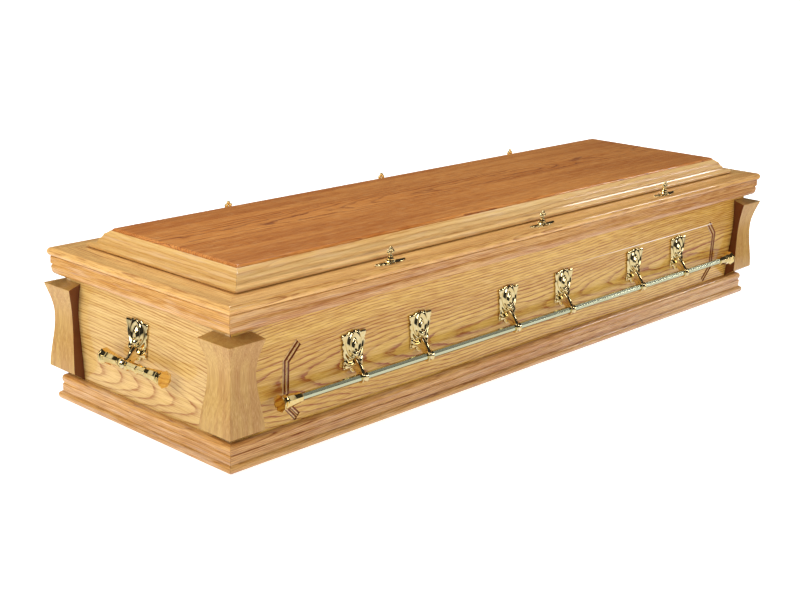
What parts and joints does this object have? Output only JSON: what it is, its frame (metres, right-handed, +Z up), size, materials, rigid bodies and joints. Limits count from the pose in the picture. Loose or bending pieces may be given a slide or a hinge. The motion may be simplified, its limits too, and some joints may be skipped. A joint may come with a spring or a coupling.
{
  "type": "coffin",
  "caption": "Rectangular oak coffin with a raised lid, hollowed corner posts, moulded base and cornice, and gilt bar handles on shell brackets.",
  "frame": {"origin": "under the middle of the base, on the floor plane", "axes": "+X along the length, +Y across the width, +Z up"},
  "size_m": [2.1106, 0.6618, 0.4031],
  "materials": {
    "oak": "satin clear varnish",
    "gilt_metal": "polished gilt"
  },
  "bodies": {
    "root": {"bar_cap_left_foot": "gilt_metal", "bar_cap_left_head": "gilt_metal", "bar_cap_right_foot": "gilt_metal", "bar_cap_right_head": "gilt_metal", "bar_left": "gilt_metal", "bar_right": "gilt_metal", "base_board": "oak", "base_mould_foot": "oak", "base_mould_head": "oak", "base_mould_left": "oak", "base_mould_right": "oak", "bracket_left_1": "gilt_metal", "bracket_left_2": "gilt_metal", "bracket_left_3": "gilt_metal", "bracket_left_4": "gilt_metal", "bracket_left_5": "gilt_metal", "bracket_left_6": "gilt_metal", "bracket_right_1": "gilt_metal", "bracket_right_2": "gilt_metal", "bracket_right_3": "gilt_metal", "bracket_right_4": "gilt_metal", "bracket_right_5": "gilt_metal", "bracket_right_6": "gilt_metal", "corner_post_foot_left": "oak", "corner_post_foot_right": "oak", "corner_post_head_left": "oak", "corner_post_head_right": "oak", "cornice_foot": "oak", "cornice_head": "oak", "cornice_left": "oak", "cornice_right": "oak", "end_bar_foot": "gilt_metal", "end_bar_head": "gilt_metal", "end_bracket_foot": "gilt_metal", "end_bracket_head": "gilt_metal", "end_panel_foot": "oak", "end_panel_head": "oak", "lid_border": "oak", "raised_mould_foot": "oak", "raised_mould_head": "oak", "raised_mould_left": "oak", "raised_mould_right": "oak", "screw_plate_left_1": "gilt_metal", "screw_plate_left_2": "gilt_metal", "screw_plate_left_3": "gilt_metal", "screw_plate_right_1": "gilt_metal", "screw_plate_right_2": "gilt_metal", "screw_plate_right_3": "gilt_metal", "side_panel_left": "oak", "side_panel_right": "oak", "thumbscrew_left_1": "gilt_metal", "thumbscrew_left_2": "gilt_metal", "thumbscrew_left_3": "gilt_metal", "thumbscrew_right_1": "gilt_metal", "thumbscrew_right_2": "gilt_metal", "thumbscrew_right_3": "gilt_metal", "top_panel": "oak"}
  },
  "joints": []
}
